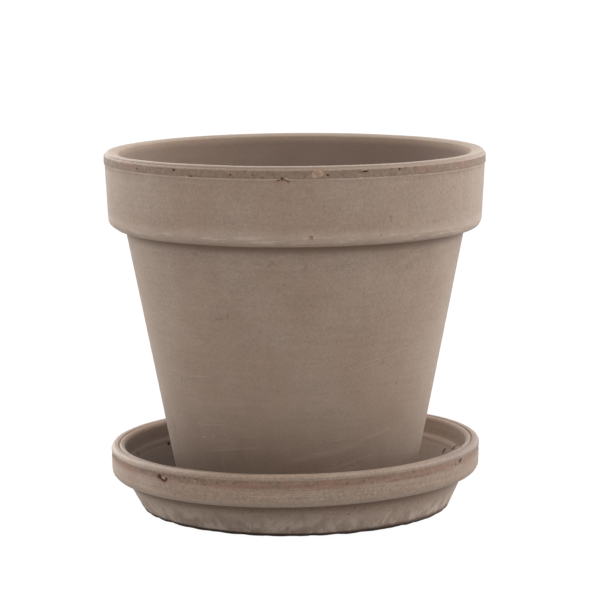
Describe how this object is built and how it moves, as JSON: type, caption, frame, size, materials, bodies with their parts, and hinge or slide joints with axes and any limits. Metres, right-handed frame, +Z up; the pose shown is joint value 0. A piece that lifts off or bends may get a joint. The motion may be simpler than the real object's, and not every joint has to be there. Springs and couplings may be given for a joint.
{
  "type": "clay flower pot with saucer",
  "caption": "Round tapered clay flower pot with a deep collar and a drain hole, standing in a matching rimmed saucer it lifts out of.",
  "frame": {"origin": "centre of the saucer's flat underside, on the axis that the pot and the saucer share", "axes": "+Z up along the shared axis, X and Y level and interchangeable because both pieces are round"},
  "size_m": [0.18, 0.18, 0.1701],
  "materials": {
    "pot_clay": "matt unglazed taupe grey clay, smooth, with a rougher darker band round the rim",
    "saucer_clay": "matt unglazed taupe grey clay, mottled with pale bloom near the foot and reddish patches under the lip"
  },
  "bodies": {
    "saucer": {"saucer": "saucer_clay"},
    "pot": {"pot": "pot_clay"}
  },
  "joints": [
    {"name": "pot_lift", "type": "slide", "parent": "saucer", "child": "pot", "axis": [0, 0, 1], "range_m": [0, 0.08]}
  ]
}
